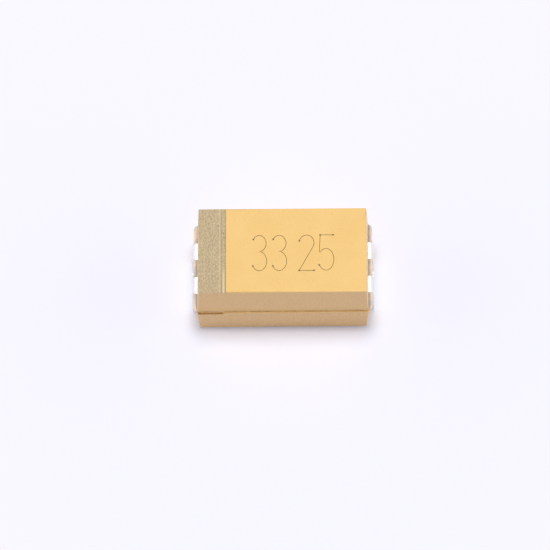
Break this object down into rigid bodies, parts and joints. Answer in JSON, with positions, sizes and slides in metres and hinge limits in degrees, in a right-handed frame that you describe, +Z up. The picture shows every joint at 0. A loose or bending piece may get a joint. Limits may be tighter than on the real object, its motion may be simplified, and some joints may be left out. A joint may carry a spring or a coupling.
{
  "type": "moulded tantalum chip capacitor",
  "caption": "Surface-mount tantalum capacitor: a moulded resin block with folded tinned terminals at its ends, a laser-cut polarity band on top, and its pellet, coats and lead frame inside.",
  "frame": {"origin": "centre of the footprint, on the seating plane that the two terminal feet rest on", "axes": "+X along the length from the anode end with the polarity band to the cathode end, +Z up to the marked face, +Y across the width"},
  "size_m": [0.0074, 0.0042, 0.0027],
  "materials": {
    "epoxy_resin": "satin moulded epoxy, lasered darker in the polarity band and the marking",
    "tinned_strip": "matte tin plate",
    "sintered_tantalum": "porous sintered metal powder",
    "tantalum_metal": "drawn wire",
    "fluoropolymer": "waxy",
    "manganese_dioxide": "fired matt black oxide",
    "graphite": "dull dipped carbon paint",
    "silver_paint": "matt dipped silver paint",
    "silver_epoxy": "cured silver-filled adhesive"
  },
  "bodies": {
    "root": {"moulded_case": "epoxy_resin", "anode_terminal": "tinned_strip", "cathode_terminal": "tinned_strip", "tantalum_pellet": "sintered_tantalum", "tantalum_wire": "tantalum_metal", "insulating_washer": "fluoropolymer", "manganese_dioxide_coat": "manganese_dioxide", "graphite_coat": "graphite", "silver_coat": "silver_paint", "silver_adhesive": "silver_epoxy"}
  },
  "joints": []
}
